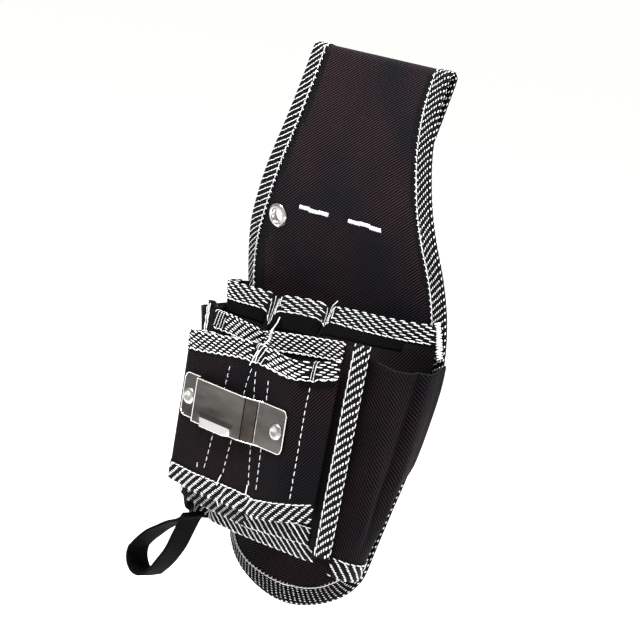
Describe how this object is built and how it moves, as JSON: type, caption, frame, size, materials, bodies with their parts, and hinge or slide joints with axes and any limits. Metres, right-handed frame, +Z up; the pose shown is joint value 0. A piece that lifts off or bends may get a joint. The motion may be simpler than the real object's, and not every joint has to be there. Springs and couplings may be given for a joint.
{
  "type": "electrician tool pouch",
  "caption": "Belt pouch with a folded belt tunnel, tiered front pockets, two side pockets, a riveted steel tape holder, an eyelet and a hanging strap loop.",
  "frame": {"origin": "middle of the belt tunnel behind the neck", "axes": "as worn: +Z up, -Y out of the front, +X to the right as seen from the front, along the belt"},
  "size_m": [0.1772, 0.0856, 0.3261],
  "materials": {
    "oxford_black": "matte black ribbed oxford weave",
    "binding_black": "black woven tape with slanted white dashes",
    "webbing_black": "matte black webbing",
    "white_thread": "white sewing thread",
    "satin_steel": "satin nickel-plated steel"
  },
  "bodies": {
    "pouch": {"back_panel": "oxford_black", "belt_tack_left": "white_thread", "belt_tack_right": "white_thread", "clip_rivet_left": "satin_steel", "clip_rivet_right": "satin_steel", "clip_washer_left": "satin_steel", "clip_washer_right": "satin_steel", "edge_binding": "binding_black", "eyelet": "satin_steel", "eyelet_washer": "satin_steel", "front_pocket_bottom_binding": "binding_black", "front_pocket_panel": "oxford_black", "front_pocket_top_binding": "binding_black", "left_pocket_bottom_binding": "binding_black", "left_pocket_panel": "oxford_black", "left_seam_binding": "binding_black", "middle_pocket_bottom_binding": "binding_black", "middle_pocket_panel": "oxford_black", "middle_pocket_top_binding": "binding_black", "rear_pocket_bottom_binding": "binding_black", "rear_pocket_panel": "oxford_black", "rear_pocket_top_binding": "binding_black", "right_pocket_bottom_binding": "binding_black", "right_pocket_panel": "oxford_black", "right_seam_binding": "binding_black", "tape_holder_clip": "satin_steel"},
    "strap": {"strap_loop": "webbing_black"}
  },
  "joints": [
    {"name": "strap_swing", "type": "hinge", "parent": "pouch", "child": "strap", "pos_m": [-0.043, -0.0475, -0.2295], "axis": [0, 1, 0], "range_deg": [-43, 22]}
  ]
}
